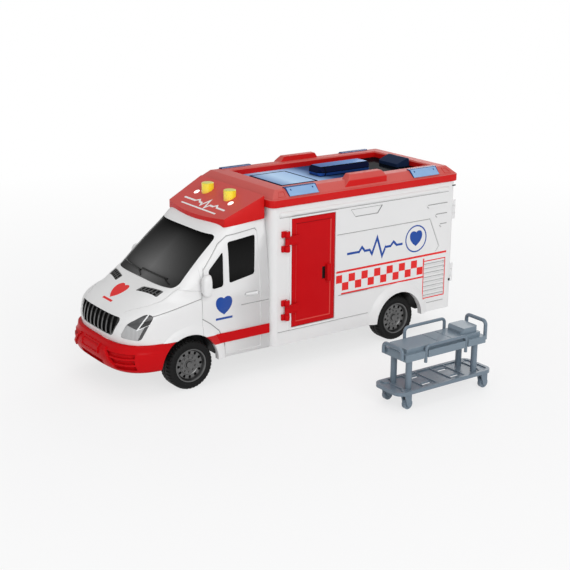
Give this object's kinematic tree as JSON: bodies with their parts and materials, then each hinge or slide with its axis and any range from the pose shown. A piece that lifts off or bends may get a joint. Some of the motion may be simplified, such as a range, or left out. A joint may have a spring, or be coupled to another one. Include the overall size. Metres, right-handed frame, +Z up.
{
  "type": "toy ambulance with wheeled stretcher",
  "caption": "Toy ambulance van with hinged cargo doors, friction-drive rear axle, push buttons and a separate stretcher on swivel casters with drop rails.",
  "frame": {"origin": "on the ground plane, at the middle of the whole set's plan, van and stretcher together", "axes": "+X forwards along the van, +Y to the van's left where the stretcher stands, +Z up"},
  "size_m": [0.2941, 0.2134, 0.1351],
  "materials": {
    "white_plastic": "gloss",
    "red_plastic": "gloss",
    "red_fairing": "satin",
    "dark_plastic": "matte",
    "black_gloss": "gloss",
    "roof_gloss": "gloss",
    "clear_blue": "translucent gloss",
    "clear_lamp": "translucent gloss",
    "clear_yellow": "translucent gloss",
    "rim_grey": "metallic",
    "tyre_black": "matte",
    "steel": "bright",
    "gear_plastic": "natural",
    "board_green": "satin",
    "cell_skin": "gloss",
    "slate_plastic": "satin"
  },
  "bodies": {
    "van": {"load_floor": "white_plastic", "left_side_panel": "white_plastic", "right_side_panel": "white_plastic", "front_bulkhead": "white_plastic", "rear_frame": "white_plastic", "cab_shell": "white_plastic", "mirrors": "white_plastic", "roof_ring": "red_plastic", "side_door_hinges": "red_plastic", "bumper": "red_plastic", "sill_stripes": "red_plastic", "fairing": "red_fairing", "chassis": "dark_plastic", "gearbox": "dark_plastic", "gearbox_cover": "dark_plastic", "battery_cover": "dark_plastic", "speaker": "dark_plastic", "windscreen": "black_gloss", "side_windows": "black_gloss", "grille": "black_gloss", "bonnet_vents": "black_gloss", "ac_unit": "black_gloss", "roof_insert": "roof_gloss", "light_bar": "clear_blue", "roof_lenses": "clear_blue", "headlights": "clear_lamp", "led_lenses": "clear_lamp", "gear_shafts": "steel", "hinge_pins": "steel", "screws": "steel", "circuit_board": "board_green", "battery_cells": "cell_skin"},
    "front_axle": {"front_axle": "steel", "front_rims": "rim_grey", "front_tyres": "tyre_black"},
    "rear_axle": {"rear_axle": "steel", "rear_rims": "rim_grey", "rear_tyres": "tyre_black", "drive_gear": "gear_plastic"},
    "idler": {"idler_gear": "gear_plastic"},
    "flywheel": {"flywheel": "steel"},
    "side_door": {"side_door": "red_plastic"},
    "rear_left_door": {"rear_left_door": "white_plastic"},
    "rear_right_door": {"rear_right_door": "white_plastic"},
    "button_left": {"button_left": "clear_yellow"},
    "button_right": {"button_right": "clear_yellow"},
    "stretcher": {"stretcher_tray": "slate_plastic", "stretcher_posts": "slate_plastic", "stretcher_bed": "slate_plastic", "stretcher_handles": "slate_plastic"},
    "near_rail": {"near_rail": "slate_plastic"},
    "far_rail": {"far_rail": "slate_plastic"},
    "caster_1": {"caster_fork_1": "slate_plastic"},
    "caster_1_wheel": {"caster_wheel_1": "slate_plastic"},
    "caster_2": {"caster_fork_2": "slate_plastic"},
    "caster_2_wheel": {"caster_wheel_2": "slate_plastic"},
    "caster_3": {"caster_fork_3": "slate_plastic"},
    "caster_3_wheel": {"caster_wheel_3": "slate_plastic"},
    "caster_4": {"caster_fork_4": "slate_plastic"},
    "caster_4_wheel": {"caster_wheel_4": "slate_plastic"}
  },
  "joints": [
    {"name": "front_axle_spin", "type": "hinge", "parent": "van", "child": "front_axle", "pos_m": [0.09412, -0.0533, 0.0175], "axis": [0, 1, 0], "continuous": true},
    {"name": "rear_axle_spin", "type": "hinge", "parent": "van", "child": "rear_axle", "pos_m": [-0.08889, -0.0533, 0.0175], "axis": [0, 1, 0], "continuous": true},
    {"name": "idler_spin", "type": "hinge", "parent": "van", "child": "idler", "pos_m": [-0.09849, -0.0533, 0.0175], "axis": [0, 1, 0], "continuous": true},
    {"name": "flywheel_spin", "type": "hinge", "parent": "van", "child": "flywheel", "pos_m": [-0.10809, -0.0533, 0.0175], "axis": [0, 1, 0], "continuous": true},
    {"name": "side_door_swing", "type": "hinge", "parent": "van", "child": "side_door", "pos_m": [0.01711, -0.0022, 0.037], "axis": [0, 0, -1], "range_deg": [0, 110]},
    {"name": "rear_left_door_swing", "type": "hinge", "parent": "van", "child": "rear_left_door", "pos_m": [-0.14522, -0.00878, 0.038], "axis": [0, 0, -1], "range_deg": [0, 110]},
    {"name": "rear_right_door_swing", "type": "hinge", "parent": "van", "child": "rear_right_door", "pos_m": [-0.14522, -0.09782, 0.038], "axis": [0, 0, 1], "range_deg": [0, 110]},
    {"name": "button_left_press", "type": "slide", "parent": "van", "child": "button_left", "axis": [0, 0, -1], "range_m": [0, 0.001]},
    {"name": "button_right_press", "type": "slide", "parent": "van", "child": "button_right", "axis": [0, 0, -1], "range_m": [0, 0.001]},
    {"name": "stretcher_roll", "type": "slide", "parent": "van", "child": "stretcher", "axis": [1, 0, 0], "range_m": [-0.06, 0.06]},
    {"name": "near_rail_lift", "type": "slide", "parent": "stretcher", "child": "near_rail", "axis": [0, 0, 1], "range_m": [0, 0.0065]},
    {"name": "far_rail_drop", "type": "slide", "parent": "stretcher", "child": "far_rail", "axis": [0, 0, -1], "range_m": [0, 0.0065]},
    {"name": "caster_1_swivel", "type": "hinge", "parent": "stretcher", "child": "caster_1", "pos_m": [-0.07339, 0.0825, 0.0107], "axis": [0, 0, 1], "continuous": true},
    {"name": "caster_1_spin", "type": "hinge", "parent": "caster_1", "child": "caster_1_wheel", "pos_m": [-0.07558, 0.0825, 0.0036], "axis": [0, 1, 0], "continuous": true},
    {"name": "caster_2_swivel", "type": "hinge", "parent": "stretcher", "child": "caster_2", "pos_m": [-0.07339, 0.1029, 0.0107], "axis": [0, 0, 1], "continuous": true},
    {"name": "caster_2_spin", "type": "hinge", "parent": "caster_2", "child": "caster_2_wheel", "pos_m": [-0.07558, 0.1029, 0.0036], "axis": [0, 1, 0], "continuous": true},
    {"name": "caster_3_swivel", "type": "hinge", "parent": "stretcher", "child": "caster_3", "pos_m": [-0.00439, 0.0825, 0.0107], "axis": [0, 0, 1], "continuous": true},
    {"name": "caster_3_spin", "type": "hinge", "parent": "caster_3", "child": "caster_3_wheel", "pos_m": [-0.00658, 0.0825, 0.0036], "axis": [0, 1, 0], "continuous": true},
    {"name": "caster_4_swivel", "type": "hinge", "parent": "stretcher", "child": "caster_4", "pos_m": [-0.00439, 0.1029, 0.0107], "axis": [0, 0, 1], "continuous": true},
    {"name": "caster_4_spin", "type": "hinge", "parent": "caster_4", "child": "caster_4_wheel", "pos_m": [-0.00658, 0.1029, 0.0036], "axis": [0, 1, 0], "continuous": true}
  ],
  "couplings": [
    {"joint": "idler_spin", "follows": "rear_axle_spin", "ratio": -3},
    {"joint": "flywheel_spin", "follows": "rear_axle_spin", "ratio": 9}
  ]
}
